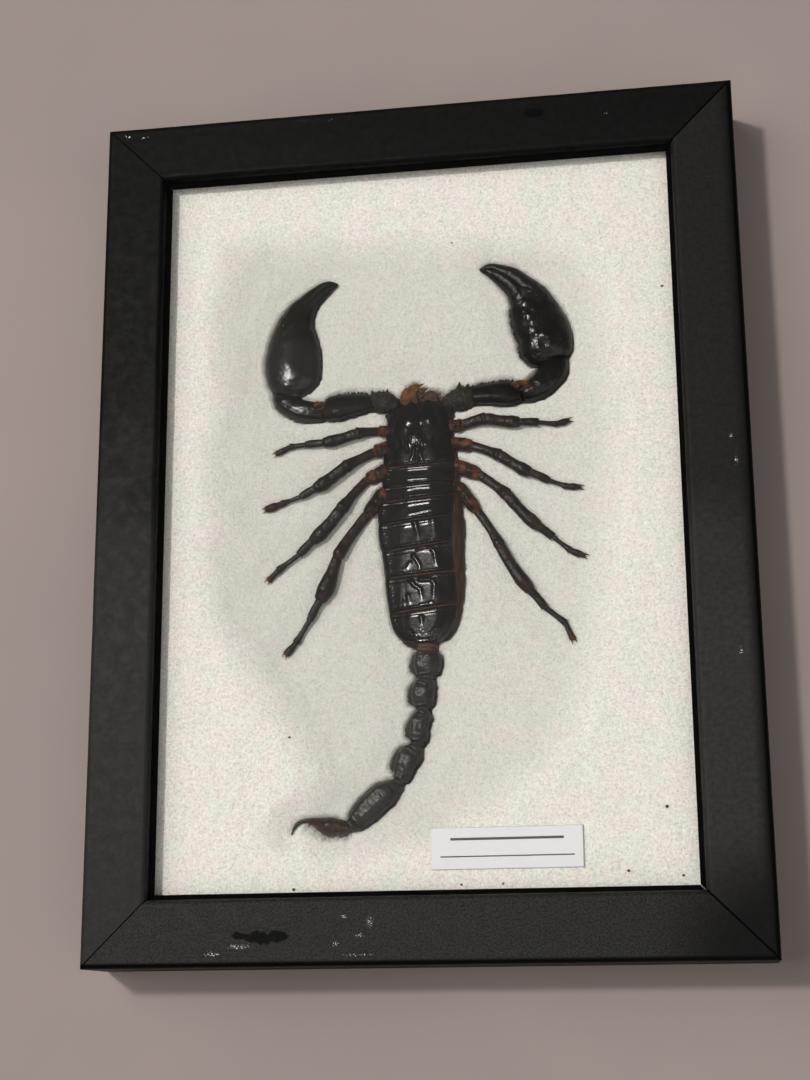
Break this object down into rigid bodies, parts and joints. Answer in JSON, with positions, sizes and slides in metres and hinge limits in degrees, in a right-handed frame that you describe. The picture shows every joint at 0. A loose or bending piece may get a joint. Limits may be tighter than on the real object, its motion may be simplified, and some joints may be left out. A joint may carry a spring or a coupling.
{
  "type": "framed scorpion specimen",
  "caption": "Dried dark scorpion with spread legs and pincers, bedded on white batting behind glass in a slim black mitred picture frame with a blank caption card.",
  "frame": {"origin": "centre of the frame's back plane, where it lies on a table or a wall", "axes": "+X to the right of the picture, +Y to the top of the picture, +Z out through the glass"},
  "size_m": [0.1524, 0.2032, 0.02],
  "materials": {
    "frame_black": "satin black paint, worn at the edges",
    "glass": "clear",
    "card": "smooth",
    "board": "hardboard",
    "steel": "zinc plated",
    "batting": "fluffy fibre",
    "cuticle": "glossy dark cuticle",
    "limb": "glossy brown cuticle",
    "chelicera": "dry brown cuticle",
    "membrane": "dry brown membrane"
  },
  "bodies": {
    "root": {"frame_rail_top": "frame_black", "frame_rail_bottom": "frame_black", "frame_rail_left": "frame_black", "frame_rail_right": "frame_black", "glass_pane": "glass", "caption_card": "card", "backing_board": "board", "sawtooth_hanger": "steel", "hanger_nail_left": "steel", "hanger_nail_right": "steel", "framing_point_top": "steel", "framing_point_bottom": "steel", "framing_point_left": "steel", "framing_point_right": "steel", "batting": "batting", "trunk_underside": "membrane", "carapace": "cuticle", "tergite_1": "cuticle", "tergite_2": "cuticle", "tergite_3": "cuticle", "tergite_4": "cuticle", "tergite_5": "cuticle", "tergite_6": "cuticle", "tergite_7": "cuticle", "chelicera_left": "chelicera", "chelicera_right": "chelicera", "pincer_hand_left": "cuticle", "pincer_finger_left": "cuticle", "pedipalp_patella_left": "cuticle", "pedipalp_femur_left": "cuticle", "pedipalp_trochanter_left": "limb", "pincer_hand_right": "cuticle", "pincer_finger_right": "cuticle", "pedipalp_patella_right": "cuticle", "pedipalp_femur_right": "cuticle", "pedipalp_trochanter_right": "limb", "leg_left_1": "limb", "leg_left_2": "limb", "leg_left_3": "limb", "leg_left_4": "limb", "leg_right_1": "limb", "leg_right_2": "limb", "leg_right_3": "limb", "leg_right_4": "limb", "tail_segment_1": "cuticle", "tail_segment_2": "cuticle", "tail_segment_3": "cuticle", "tail_segment_4": "cuticle", "tail_segment_5": "cuticle", "telson": "limb"}
  },
  "joints": []
}
